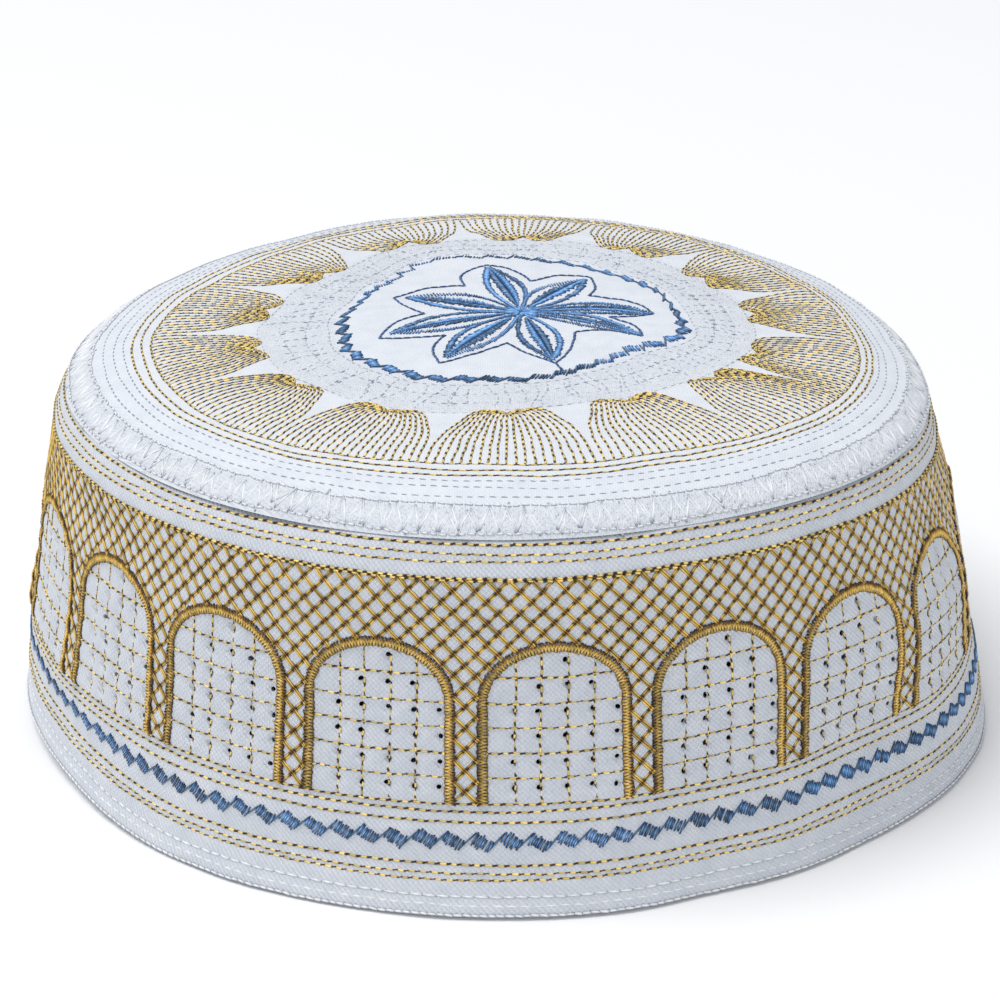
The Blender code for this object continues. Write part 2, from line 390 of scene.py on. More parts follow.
def new_finish(name, roughness, ior):
    material = bpy.data.materials.new(name)
    material.use_nodes = True
    shader = material.node_tree.nodes["Principled BSDF"]
    shader.inputs["Roughness"].default_value = roughness
    shader.inputs["IOR"].default_value = ior
    return material, shader


# %% [markdown]
# ### White cotton
#
# The cloth is a fine white cotton drill, bleached with a little blue in it, which is why its shade side
# looks cool. A drill shows close diagonal ribs. On the real cap they are about 0.3 mm apart, which is
# finer than a pixel here, so they are drawn about half a millimetre apart to show at all. Two crossing
# wave patterns in the bump give the ribs and the threads that cross them, and a slow noise gives the
# unevenness of washed cloth. A coarser noise puckers the crown where it is quilted and at its hem.

# %% Cotton finishes
def cotton(name, light, shade, rib_mm, rib_depth, thread_depth, fleck_zones=()):
    """A cotton finish. fleck_zones gives radii of the crown and how strongly stitching puckers it there."""
    material, shader = new_finish(name, 0.82, 1.47)
    place = add_node(material, "ShaderNodeUVMap", {"uv_map": "cloth_mm"}).outputs["UV"]
    ribs = add_node(material, "ShaderNodeTexWave", {"wave_type": "BANDS", "bands_direction": "DIAGONAL",
                    "Scale": 0.3142 / rib_mm, "Distortion": 1.2, "Detail": 1.0, "Detail Scale": 2.0},
                    {"Vector": place})
    threads = add_node(material, "ShaderNodeTexWave", {"wave_type": "BANDS", "bands_direction": "X",
                       "Scale": 0.3142 / rib_mm, "Distortion": 2.0, "Detail": 1.0, "Detail Scale": 3.0},
                       {"Vector": place})
    slubs = add_node(material, "ShaderNodeTexNoise", {"Scale": 0.22, "Detail": 4.0, "Roughness": 0.6},
                     {"Vector": place})
    tint = add_node(material, "ShaderNodeValToRGB", links={"Fac": slubs.outputs["Fac"]})
    tint.color_ramp.elements[0].position = 0.3
    tint.color_ramp.elements[0].color = linear(shade)
    tint.color_ramp.elements[1].position = 0.65
    tint.color_ramp.elements[1].color = linear(light)
    # Painted shade: the colour is darkened in the furrows between the ribs, where shade falls.
    painted_furrow_shade = add_node(material, "ShaderNodeMapRange", {"To Min": 1.0 - 0.1 * rib_depth, "To Max": 1.0},
                       {"Value": ribs.outputs["Fac"]})
    colour = add_node(material, "ShaderNodeVectorMath", {"operation": "SCALE"},
                      {0: tint.outputs["Color"], "Scale": painted_furrow_shade.outputs["Result"]})
    material.node_tree.links.new(colour.outputs["Vector"], shader.inputs["Base Color"])
    bump = add_node(material, "ShaderNodeBump", {"Strength": rib_depth, "Distance": 0.00015},
                    {"Height": ribs.outputs["Fac"]})
    bump = add_node(material, "ShaderNodeBump", {"Strength": thread_depth, "Distance": 0.00012},
                    {"Height": threads.outputs["Fac"], "Normal": bump.outputs["Normal"]})
    if fleck_zones:
        radius = add_node(material, "ShaderNodeVectorMath", {"operation": "LENGTH"}, {0: place})
        zones = add_node(material, "ShaderNodeMath", {"operation": "DIVIDE", 1: 100.0},
                         {0: radius.outputs["Value"]})
        mask = add_node(material, "ShaderNodeValToRGB", links={"Fac": zones.outputs["Value"]})
        stops = mask.color_ramp.elements
        for number, (radius_mm, strength) in enumerate(fleck_zones):
            stop = stops[number] if number < 2 else stops.new(radius_mm / 100.0)
            stop.position = radius_mm / 100.0
            stop.color = (strength, strength, strength, 1.0)
        flecks = add_node(material, "ShaderNodeTexNoise", {"Scale": 1.1, "Detail": 3.0, "Roughness": 0.7},
                          {"Vector": place})
        height = add_node(material, "ShaderNodeMath", {"operation": "MULTIPLY"},
                          {0: flecks.outputs["Fac"], 1: mask.outputs["Color"]})
        bump = add_node(material, "ShaderNodeBump", {"Strength": 1.0, "Distance": 0.0012},
                        {"Height": height.outputs["Value"], "Normal": bump.outputs["Normal"]})
    material.node_tree.links.new(bump.outputs["Normal"], shader.inputs["Normal"])
    shader.inputs["Sheen Weight"].default_value = 0.15
    shader.inputs["Sheen Roughness"].default_value = 0.5
    return material


# The band's drill: its ribs catch the light as a fine diagonal hatch, with painted shade in the furrows between
# them.
band_cotton = cotton("white cotton drill", "#E4E8EF", "#D7DDE6", 0.5, 0.9, 0.45)
# Radii of the crown in mm, and how strongly its stitching puckers it there, from 0 to 1.
FLECK_ZONES = ((0.0, 0.0), (100.0, 0.0), (35.0, 0.0), (37.0, 0.5), (48.0, 0.5), (50.0, 0.0),
               (78.5, 0.0), (80.0, 0.6), (83.5, 0.6), (84.5, 0.0))
# The crown's lawn is finer and smoother, over padding. Its colour is painted a little lighter than the band's,
# for the stronger light that falls on the top.
crown_cotton = cotton("quilted white cotton lawn", "#ECF0F6", "#E2E7EF", 0.45, 0.4, 0.35, FLECK_ZONES)
# The facing is plain calico, painted greyer than the band for the shade under the rim.
facing_cotton_in_painted_shade = cotton("plain cotton calico", "#C9CBD0", "#B4B7BE", 0.6, 0.3, 0.3)

# %% [markdown]
# ### Thread
#
# One stitch is one UV unit long. A ramp along it paints shade on the dives into the cloth at both ends
# and a highlight on the back in the middle. A value stored on every stitch makes neighbours differ a
# little, as light falls on each at its own angle, and on the arches that value also carries painted light.
# The flanks of each stitch are painted darker, as the shade of its neighbours. A thin wave across the
# stitch is the twist of the two plies.

# %% Thread finishes
def thread(name, ramp, roughness, shaded_flank_brightness=0.4, twist=0.35, spread=0.35):
    """A thread finish. The ramp gives places along a stitch, from 0 to 1, and their colours."""
    material, shader = new_finish(name, roughness, 1.53)
    place = add_node(material, "ShaderNodeUVMap", {"uv_map": "along_stitch"}).outputs["UV"]
    axes = add_node(material, "ShaderNodeSeparateXYZ", links={"Vector": place})
    shade = add_node(material, "ShaderNodeAttribute", {"attribute_name": "stitch_shade"})
    colours = add_node(material, "ShaderNodeValToRGB", links={"Fac": axes.outputs["X"]})
    stops = colours.color_ramp.elements
    for number, (position, code) in enumerate(ramp):
        stop = stops[number] if number < 2 else stops.new(position)
        stop.position = position
        stop.color = linear(code)
    spread_value = add_node(material, "ShaderNodeMapRange", {"From Min": 0.0, "From Max": 1.0,
                            "To Min": 1.0 - spread, "To Max": 1.0 + spread},
                            {"Value": shade.outputs["Fac"]})
    # Painted shade: the flanks of each stitch are darkened, as the shade its neighbours throw on it.
    around = add_node(material, "ShaderNodeMath", {"operation": "ABSOLUTE"}, {0: axes.outputs["Y"]})
    painted_flank_shade = add_node(material, "ShaderNodeMapRange", {"From Min": 0.07, "From Max": 0.24,
                      "To Min": 1.0, "To Max": shaded_flank_brightness}, {"Value": around.outputs["Value"]})
    brightness = add_node(material, "ShaderNodeMath", {"operation": "MULTIPLY"},
                          {0: spread_value.outputs["Result"], 1: painted_flank_shade.outputs["Result"]})
    shaded = add_node(material, "ShaderNodeVectorMath", {"operation": "SCALE"},
                      {0: colours.outputs["Color"], "Scale": brightness.outputs["Value"]})
    material.node_tree.links.new(shaded.outputs["Vector"], shader.inputs["Base Color"])
    plies = add_node(material, "ShaderNodeTexWave", {"wave_type": "BANDS", "bands_direction": "DIAGONAL",
                     "Scale": 0.9, "Distortion": 0.0}, {"Vector": place})
    bump = add_node(material, "ShaderNodeBump", {"Strength": twist, "Distance": 0.0001},
                    {"Height": plies.outputs["Fac"]})
    material.node_tree.links.new(bump.outputs["Normal"], shader.inputs["Normal"])
    return material


# Gold running thread: a painted pale yellow highlight on its back, and painted near-black brown shade where it
# dives between two stitches.
gold_running = thread("gold rayon running thread", ((0.0, "#3B2408"), (1.0, "#3B2408"), (0.2, "#4A2F0C"),
                      (0.3, "#F2CF6C"), (0.68, "#FBE08C"), (0.8, "#4A2F0C")), 0.4, shaded_flank_brightness=0.66)
# Gold satin thread: a painted highlight on the side that rises over the padding, painted shade where it turns
# down outside.
gold_satin = thread("gold rayon satin thread", ((0.0, "#4A300C"), (1.0, "#33200A"), (0.12, "#CFA040"),
                    (0.34, "#F7DA80"), (0.58, "#E3B853"), (0.8, "#845C1A")), 0.36, shaded_flank_brightness=0.42, spread=0.4)
# Net thread laid first: a painted highlight between the crossings, and painted shade where the strands above
# lie on it.
net_under = thread("gold rayon net thread, under", ((0.0, "#33200A"), (1.0, "#33200A"), (0.24, "#6E4C14"),
                   (0.4, "#E8C25C"), (0.6, "#E8C25C"), (0.76, "#6E4C14")), 0.36, shaded_flank_brightness=0.42, spread=0.4)
# Net thread laid last: it runs on over the crossings, with only a short painted shade at the dip at each, and a
# painted highlight between.
net_over = thread("gold rayon net thread, over", ((0.0, "#4F360F"), (1.0, "#4F360F"), (0.1, "#A87C2A"),
                  (0.3, "#F0CE6E"), (0.7, "#E2B752"), (0.9, "#8A621C")), 0.36, shaded_flank_brightness=0.42, spread=0.4)
# Blue thread, dyed in changing shades along its length, which is why the shade value spreads widely. Its ramp
# paints shade at the ends of each stitch and a highlight in the middle.
blue_rayon = thread("shaded blue rayon thread", ((0.0, "#1B4475"), (1.0, "#1B4475"), (0.22, "#4079B6"),
                    (0.5, "#8AB6E2"), (0.78, "#4079B6")), 0.36, shaded_flank_brightness=0.42, spread=0.6)
# The same thread in running stitch round the petals, where it dives into the cloth at every stitch.
blue_outline = thread("shaded blue rayon running thread", ((0.0, "#7FAEDD"), (1.0, "#7FAEDD"),
                      (0.14, "#3F6EA5"), (0.3, "#1D3F6E"), (0.7, "#2B5488"), (0.86, "#3F6EA5")), 0.4, shaded_flank_brightness=0.6)
# White thread in the open: a plump bright cord between two needle holes, with painted grey shade at its ends
# where it goes into them.
white_cotton = thread("white cotton sewing thread", ((0.0, "#A4ACB9"), (1.0, "#A4ACB9"), (0.1, "#E4E9F0"),
                      (0.5, "#FFFFFF"), (0.9, "#E4E9F0")), 0.6, shaded_flank_brightness=0.62, spread=0.06)
# White thread sunk in the cloth: all that shows is its dash, painted grey for the shade of the groove it lies
# in.
sunk_cotton = thread("sunk white cotton thread", ((0.0, "#CFD5DE"), (1.0, "#CFD5DE"), (0.25, "#AFB7C4"),
                     (0.5, "#A6AEBC"), (0.75, "#AFB7C4")), 0.8, shaded_flank_brightness=0.9, spread=0.14)

# %% [markdown]
# ## The cloth
#
# Cloth is cut flat and then made up, and so is this: a flat grid, as wide as the cap is round, is pierced
# while it lies flat and then wrapped on the shape. An eyelet could be cut with a Boolean, but 432 cutters
# leave long thin faces. Bevelling one vertex opens a neat little polygon, which is deleted to leave a
# hole. Solidify then gives the cloth its thickness and turns each hole into a short tunnel.

# %% Cloth helpers
def deselect_all():
    if bpy.context.mode != "OBJECT":
        bpy.ops.object.mode_set(mode="OBJECT")
    bpy.ops.object.select_all(action="DESELECT")


def vertex_places(piece):
    places = np.empty(len(piece.data.vertices) * 3)
    piece.data.vertices.foreach_get("co", places)
    return places.reshape(-1, 3)


def place_vertices(piece, places):
    piece.data.vertices.foreach_set("co", np.ascontiguousarray(places, dtype=np.float32).ravel())
    piece.data.update()


def flat_cloth(name, columns, rows, low, high):
    """A flat grid in mm: as wide as the cap is round, and as deep as the piece is tall."""
    deselect_all()
    bpy.ops.mesh.primitive_grid_add(x_subdivisions=columns, y_subdivisions=rows, size=2.0)
    cloth = bpy.context.active_object
    cloth.name = name
    cloth.data.name = name
    places = vertex_places(cloth)
    places[:, 0] *= 180.0 * MM_PER_DEGREE
    places[:, 1] = low + (places[:, 1] + 1.0) / 2.0 * (high - low)
    place_vertices(cloth, places)
    return cloth


def pierce(cloth):
    """Open an eyelet at each of the layout's places, in the flat cloth."""
    places = vertex_places(cloth)
    centres = []
    for angle, height in eyelets:
        target = np.array((angle * MM_PER_DEGREE, height))
        offsets = places[:, :2] - target
        far = np.hypot(offsets[:, 0], offsets[:, 1])
        nearest = int(far.argmin())
        centres.append(nearest)
        shift = -offsets[nearest]
        share = np.clip(1.0 - np.hypot(*(places[:, :2] - places[nearest, :2]).T) / 3.0, 0.0, 1.0)
        places[:, :2] += share[:, None] * shift
    place_vertices(cloth, places)
    bpy.ops.object.mode_set(mode="EDIT")
    bpy.ops.mesh.select_mode(type="VERT")
    bpy.ops.mesh.select_all(action="DESELECT")
    sheet = bmesh.from_edit_mesh(cloth.data)
    sheet.verts.ensure_lookup_table()
    for centre in centres:
        sheet.verts[centre].select = True
    bmesh.update_edit_mesh(cloth.data)
    bpy.ops.mesh.bevel(offset=EYELET_RADIUS, offset_type="OFFSET", segments=2, affect="VERTICES",
                       clamp_overlap=True)
    bpy.ops.mesh.delete(type="FACE")
    bpy.ops.object.mode_set(mode="OBJECT")
    round_holes(cloth)


def round_holes(cloth):
    """Turn each eyelet's small polygon into a round hole."""
    finder = KDTree(len(eyelets))
    for number, (angle, height) in enumerate(eyelets):
        finder.insert((angle * MM_PER_DEGREE, height, 0.0), number)
    finder.balance()
    sheet = bmesh.new()
    sheet.from_mesh(cloth.data)
    for vertex in sheet.verts:
        if vertex.is_boundary:
            centre, _, distance = finder.find(vertex.co)
            if distance < 2 * EYELET_RADIUS:
                vertex.co = centre + (vertex.co - centre).normalized() * EYELET_RADIUS
    sheet.to_mesh(cloth.data)
    sheet.free()


def keep_cloth_measures(cloth):
    """Write the flat cloth's millimetres to a UV map before the cloth is wrapped."""
    while cloth.data.uv_layers:
        cloth.data.uv_layers.remove(cloth.data.uv_layers[0])
    layer = cloth.data.uv_layers.new(name="cloth_mm")
    corners = np.empty(len(cloth.data.loops), dtype=np.int32)
    cloth.data.loops.foreach_get("vertex_index", corners)
    layer.data.foreach_set("uv", vertex_places(cloth)[corners, :2].astype(np.float32).ravel())


def close_and_thicken(cloth, wall_mm, group=None):
    """Join the cloth's two ends, turn it outwards, and give it its thickness."""
    deselect_all()
    cloth.select_set(True)
    bpy.context.view_layer.objects.active = cloth
    bpy.ops.object.mode_set(mode="EDIT")
    bpy.ops.mesh.select_all(action="SELECT")
    bpy.ops.mesh.remove_doubles(threshold=0.00001)
    bpy.ops.object.mode_set(mode="OBJECT")
    middle = cloth.data.polygons[len(cloth.data.polygons) // 2]
    outwards = Vector((middle.center.x, middle.center.y, 0.02))
    if middle.normal.dot(outwards) < 0:
        bpy.ops.object.mode_set(mode="EDIT")
        bpy.ops.mesh.select_all(action="SELECT")
        bpy.ops.mesh.flip_normals()
        bpy.ops.object.mode_set(mode="OBJECT")
    wall = cloth.modifiers.new("wall", "SOLIDIFY")
    wall.thickness = wall_mm * MM
    wall.offset = -1.0
    if group:
        wall.vertex_group = group
        wall.thickness_vertex_group = 0.05
    bpy.ops.object.modifier_apply(modifier=wall.name)
    bpy.ops.object.shade_smooth_by_angle(angle=math.radians(50))


def rest_on_floor(cloth):
    """Press flat what would reach below the surface that the cap stands on."""
    places = vertex_places(cloth)
    places[:, 2] = np.maximum(places[:, 2], 0.0)
    place_vertices(cloth, places)


# %% [markdown]
# ### The side band
#
# The band's top edge is lapped behind the crown's hem, so it steps inwards there by the hem's thickness.
# Its lower edge is turned in, which the relief rounds off.

# %% Side band
BAND_WALL = 2.0
BAND_LOW, BAND_HIGH = 0.5, 68.8
LAP_HEIGHTS = (66.6, 67.3, 68.0, 68.8)
LAP_INSETS = (0.0, 0.12, 0.9, 2.1)

band = flat_cloth("band_cloth", 512, 64, BAND_LOW, BAND_HIGH)
pierce(band)
keep_cloth_measures(band)
flat = vertex_places(band)
angle, height = flat[:, 0] / MM_PER_DEGREE, flat[:, 1]
inset = np.interp(height, LAP_HEIGHTS, LAP_INSETS)
places, _ = on_band(angle, height, -inset)
place_vertices(band, places * MM)
close_and_thicken(band, BAND_WALL)
rest_on_floor(band)
band.data.materials.append(band_cotton)
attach(band, "root")
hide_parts("side_band")
print("band faces:", len(band.data.polygons))

# %% [markdown]
# ### The crown
#
# The crown is the same kind of sheet, wrapped over the top: one edge closes to a point at the middle and
# the other becomes the hem. Its rows are closer near the hem, where the curve is tight and the lines of
# stitching are close. A vertex group thins the cloth towards the hem.

# %% Crown
CROWN_WALL = 2.0
CROWN_HEM_RADIUS = 84.3
ROW_SHARES = (0.0, 0.28, 0.5, 0.66, 1.0)
ROW_RADII = (0.0, 34.0, 52.0, 68.0, CROWN_HEM_RADIUS)

crown = flat_cloth("crown_cloth", 288, 64, 0.0, 1.0)
flat = vertex_places(crown)
angle, radius = flat[:, 0] / MM_PER_DEGREE, np.interp(flat[:, 1], ROW_SHARES, ROW_RADII)
plan = np.stack((radius * np.sin(np.radians(angle)), -radius * np.cos(np.radians(angle))), axis=-1)
place_vertices(crown, np.column_stack((plan, 0 * radius)))
keep_cloth_measures(crown)
places, _ = on_crown(angle, radius)
hem_group = crown.vertex_groups.new(name="thickness")
for number, share in enumerate(np.interp(radius, (76.0, 83.0, 84.3), (1.0, 0.2, 0.05))):
    hem_group.add([number], float(share), "REPLACE")
place_vertices(crown, places * MM)
close_and_thicken(crown, CROWN_WALL, hem_group.name)
crown.data.materials.append(crown_cotton)
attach(crown, "root")
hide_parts("crown_top")
print("crown faces:", len(crown.data.polygons))

# %% [markdown]
# ### The facing
#
# The facing lines the rim and reaches just past it, down to what the cap stands on.

# %% Rim facing
FACING_WALL = 1.3
FACING_INSET = 2.3
FACING_TOP = 19.4

facing_cloth = flat_cloth("facing_cloth", 288, 12, 0.0, FACING_TOP)
keep_cloth_measures(facing_cloth)
flat = vertex_places(facing_cloth)
angle, height = flat[:, 0] / MM_PER_DEGREE, flat[:, 1]
run = run_at_height(height)
places = outside(angle, run) - outward(angle, run) * FACING_INSET
edge = height < 0.01
places[edge, 2] = (RIM_TUCK.lift * dent_weight(RIM_TUCK, angle, 0.0))[edge]
place_vertices(facing_cloth, places * MM)
close_and_thicken(facing_cloth, FACING_WALL)
rest_on_floor(facing_cloth)
facing_cloth.data.materials.append(facing_cotton_in_painted_shade)
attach(facing_cloth, "root")
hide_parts("rim_facing")

# %% [markdown]
# ## One stitch
#
# Every stitch on the cap is the same small shape: a thread that comes up out of the cloth, lies on it and
# dives back. It is modelled once, from a four-sided cylinder cut into three and pinched at both ends, and
# then copied along every line, stretched to each stitch's length. With so many copies it may only
# have a few faces, and at this size the eye can't count them.

# %% Model the stitch
def pick(piece, chosen):
    """Select, in edit mode, the vertices for which chosen says so."""
    mesh = bmesh.from_edit_mesh(piece.data)
    for vertex in mesh.verts:
        vertex.select = bool(chosen(vertex.co))
    mesh.select_flush(True)
    bmesh.update_edit_mesh(piece.data)


deselect_all()
bpy.ops.mesh.primitive_cylinder_add(vertices=4, radius=0.5, depth=1.0, location=(0.5, 0.0, 0.0),
                                    rotation=(0.0, math.pi / 2, 0.0))
stitch = bpy.context.active_object
stitch.name = "one_stitch"
bpy.ops.object.transform_apply(location=True, rotation=True, scale=True)
bpy.ops.object.mode_set(mode="EDIT")
for cut in (0.24, 0.76):
    bpy.ops.mesh.select_all(action="SELECT")
    bpy.ops.mesh.bisect(plane_co=(cut, 0.0, 0.0), plane_no=(1.0, 0.0, 0.0))
for end in (0.0, 1.0):
    pick(stitch, lambda place: abs(place.x - end) < 0.01)
    bpy.ops.transform.resize(value=(1.0, 0.85, 0.65), center_override=(end, 0.0, 0.0))
    bpy.ops.transform.translate(value=(0.0, 0.0, -0.2))
bpy.ops.object.mode_set(mode="OBJECT")
STITCH_PLACES = vertex_places(stitch)
STITCH_FACES = [list(face.vertices) for face in stitch.data.polygons]
bpy.data.objects.remove(stitch, do_unlink=True)
print("one stitch:", len(STITCH_PLACES), "points,", len(STITCH_FACES), "faces")


# %% [markdown]
# ## Sewing
#
# A line of stitches is a list of starts, ends and outward directions. The helpers below turn a path on
# the cloth into stitches, and many stitches into one mesh. Each stitch wanders a little, because a hand
# or a machine never lands twice on the same thread of the cloth.

# %% Sewing helpers
def unit(vectors):
    return vectors / np.maximum(np.linalg.norm(vectors, axis=-1, keepdims=True), 1e-9)


def running(path, pitch, wander=0.05, fill=1.06, slant=0.06):
    """Stitches along a path of points and outward directions: starts, ends, directions and shades."""
    points, facing = path
    run = np.concatenate(([0.0], np.cumsum(np.linalg.norm(np.diff(points, axis=0), axis=1))))
    marks = np.arange(-rng.random(), run[-1] / pitch + 1.0) * pitch
    marks[1:-1] += rng.normal(0.0, 0.06 * pitch, len(marks) - 2)
    marks = np.clip(marks, 0.0, run[-1])
    marks = marks[np.concatenate(([True], np.diff(marks) > 0.2 * pitch))]
    lay = np.stack([np.interp(marks, run, points[:, k]) for k in range(3)], axis=-1)
    out = unit(np.stack([np.interp(marks, run, facing[:, k]) for k in range(3)], axis=-1))
    side = unit(np.cross(out, np.gradient(lay, axis=0)))
    lay = lay + side * rng.normal(0.0, wander, (len(lay), 1))
    start, end = lay[:-1] + slant * side[:-1], lay[1:] - slant * side[1:]
    trim = (end - start) * (1.0 - fill) / 2
    return start + trim, end - trim, unit(out[:-1] + out[1:]), rng.random(len(start))


def satin(lay, begin, finish, slack=0.08):
    """Threads laid side by side between two edges, given as cloth coordinates."""
    start, out = lay(begin[:, 0], begin[:, 1])
    end, _ = lay(finish[:, 0], finish[:, 1])
    reach = unit(end - start)
    start = start - reach * np.abs(rng.normal(0.0, slack, (len(start), 1)))
    end = end + reach * np.abs(rng.normal(0.0, slack, (len(end), 1)))
    return start, end, out, rng.random(len(start))


def sew(name, lines, width, rise, material, lift=0.0):
    """One mesh of all the stitches in the lines."""
    start, end, out, shade = (np.concatenate(parts) for parts in zip(*lines))
    along = end - start
    side = unit(np.cross(out, along))
    size = width * (1.0 + rng.normal(0.0, 0.08, len(start)))
    places = (start[:, None] + along[:, None] * STITCH_PLACES[None, :, :1]
              + side[:, None] * STITCH_PLACES[None, :, 1:2] * size[:, None, None]
              + out[:, None] * (STITCH_PLACES[None, :, 2:] * rise + lift))
    points = len(STITCH_PLACES)
    faces = [[corner + points * copy for corner in face]
             for copy in range(len(start)) for face in STITCH_FACES]
    mesh = bpy.data.meshes.new(name)
    mesh.from_pydata((places.reshape(-1, 3) * MM).tolist(), [], faces)
    corners = np.concatenate([np.array(face) for face in STITCH_FACES])
    measures = np.stack((STITCH_PLACES[corners, 0], np.arctan2(STITCH_PLACES[corners, 1],
                         STITCH_PLACES[corners, 2]) / math.tau), axis=-1)
    layer = mesh.uv_layers.new(name="along_stitch")
    layer.data.foreach_set("uv", np.tile(measures, (len(start), 1)).astype(np.float32).ravel())
    shades = mesh.attributes.new("stitch_shade", "FLOAT", "POINT")
    shades.data.foreach_set("value", np.repeat(shade, points).astype(np.float32))
    mesh.shade_smooth()
    mesh.materials.append(material)
    piece = bpy.data.objects.new(name, mesh)
    bpy.context.collection.objects.link(piece)
    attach(piece, "root")
    print(f"{name}: {len(start)} stitches, {28 * len(start)} triangles")
    return piece


def ring_path(lay, level, start=-180.0, stop=180.0, waver=0.0):
    """A path round the cap at one level of the band or crown."""
    angle = np.linspace(start, stop, 1441)
    turn = np.radians(angle)
    level = level + waver * (np.sin(7 * turn + level) + np.sin(13 * turn + 2 * level))
    return lay(angle, level)


# %% [markdown]
# ### Gold running lines
#
# Plain running stitch goes round the band in three groups: under the hem, below the arches, and above the
# rim. Three more rings close the crown's fans.

# %% Sew the gold running lines
GOLD_PITCH = 2.0
lines = [running(ring_path(on_band, level, waver=0.06), GOLD_PITCH) for level in BAND_GOLD_LINES]
sew("gold_band_lines", lines, 0.44, 0.36, gold_running, lift=0.08)
lines = [running(ring_path(on_crown, level, waver=0.08), GOLD_PITCH) for level in CROWN_GOLD_RINGS]
sew("gold_crown_rings", lines, 0.40, 0.34, gold_running, lift=0.08)

# %% [markdown]
# ### The window grids
#
# Each arch is a window with four uprights and five cross lines of running stitch, between the eyelets.

# %% Sew the window grids
UPRIGHT_PITCH = 1.75
LEVEL_PITCH = 2.0
lines = []
for centre in arch_angles:
    for upright in GRID_UPRIGHTS:
        heights = np.linspace(ARCH_FOOT, ARCH_TOP, 120)
        angles = centre + (upright + 0.15 * np.sin(heights / 5 + centre)) / MM_PER_DEGREE
        inner = arch_distance(angles, heights) < -0.6
        lines.append(running(on_band(angles[inner], heights[inner]), UPRIGHT_PITCH, wander=0.07))
    for level in GRID_LEVELS:
        across = np.linspace(-ARCH_HALF_WIDTH, ARCH_HALF_WIDTH, 120)
        angles = centre + across / MM_PER_DEGREE
        heights = level + 0.12 * np.sin(across / 4 + centre)
        inner = arch_distance(angles, heights) < -0.6
        lines.append(running(on_band(angles[inner], heights[inner]), LEVEL_PITCH, wander=0.06))
sew("gold_window_grids", lines, 0.40, 0.36, gold_running, lift=0.08)

# %% [markdown]
# ### The arches
#
# The border of each arch is satin stitch: threads laid side by side straight across the line, about
# 0.4 mm apart. The machine swings to and fro, so every other thread leans the other way, and the ends
# make the fine teeth along both edges.

# %% Sew the arch borders
def arch_line(count):
    """Places along an arch from its left foot over the top to its right foot, and their directions."""
    leg = ARCH_SPRING - ARCH_FOOT
    rise = ARCH_TOP - ARCH_SPRING
    turn = np.linspace(math.pi, 0.0, 400)
    bend = np.stack((ARCH_HALF_WIDTH * np.cos(turn), ARCH_SPRING + rise * np.sin(turn)), axis=-1)
    climb = np.linspace(0.0, leg, 100)[:-1, None]
    left = np.hstack((np.full_like(climb, -ARCH_HALF_WIDTH), ARCH_FOOT + climb))
    right = np.hstack((np.full_like(climb, ARCH_HALF_WIDTH), ARCH_SPRING - climb - leg / 99))
    line = np.vstack((left, bend, right))
    run = np.concatenate(([0.0], np.cumsum(np.hypot(*np.diff(line, axis=0).T))))
    marks = np.linspace(0.0, run[-1], count)
    line = np.stack([np.interp(marks, run, line[:, k]) for k in range(2)], axis=-1)
    return line, unit(np.gradient(line, axis=0))


BORDER_THREADS = 250
SATIN_LEAN = 0.3
line, ahead = arch_line(BORDER_THREADS)
across = np.stack((-ahead[:, 1], ahead[:, 0]), axis=-1)
lean = SATIN_LEAN * np.where(np.arange(BORDER_THREADS) % 2, 1.0, -1.0)[:, None] * ahead
# Painted light: on each arch the left leg's threads are painted darker and the right leg's lighter, as light
# falls on them.
PAINTED_LEG_LIGHT = np.interp(line[:, 0], (-ARCH_HALF_WIDTH, 0.0, ARCH_HALF_WIDTH), (-0.15, 0.1, 0.4))
lines = []
for centre in arch_angles:
    ends = []
    for sign in (-1.0, 1.0):
        reach = BORDER_WIDTH / 2 * (1.0 + rng.normal(0.0, 0.07, (BORDER_THREADS, 1)))
        edge = line + sign * (across * reach + lean)
        ends.append(np.stack((centre + edge[:, 0] / MM_PER_DEGREE, edge[:, 1]), axis=-1))
    start, end, out, shade = satin(on_band, ends[0], ends[1])
    lines.append((start, end, out, np.clip(0.75 * shade + PAINTED_LEG_LIGHT, 0.0, 1.0)))
sew("gold_arch_borders", lines, 0.37, 0.6, gold_satin, lift=0.16)

# %% [markdown]
# ### The net
#
# A diamond net fills the band between the arches and the line above them. Each side of a diamond is two
# threads side by side, from crossing to crossing. The strands that fall to the right are laid last, over
# the others. The net is laid out over the whole band, and every strand is cut where it meets an arch.

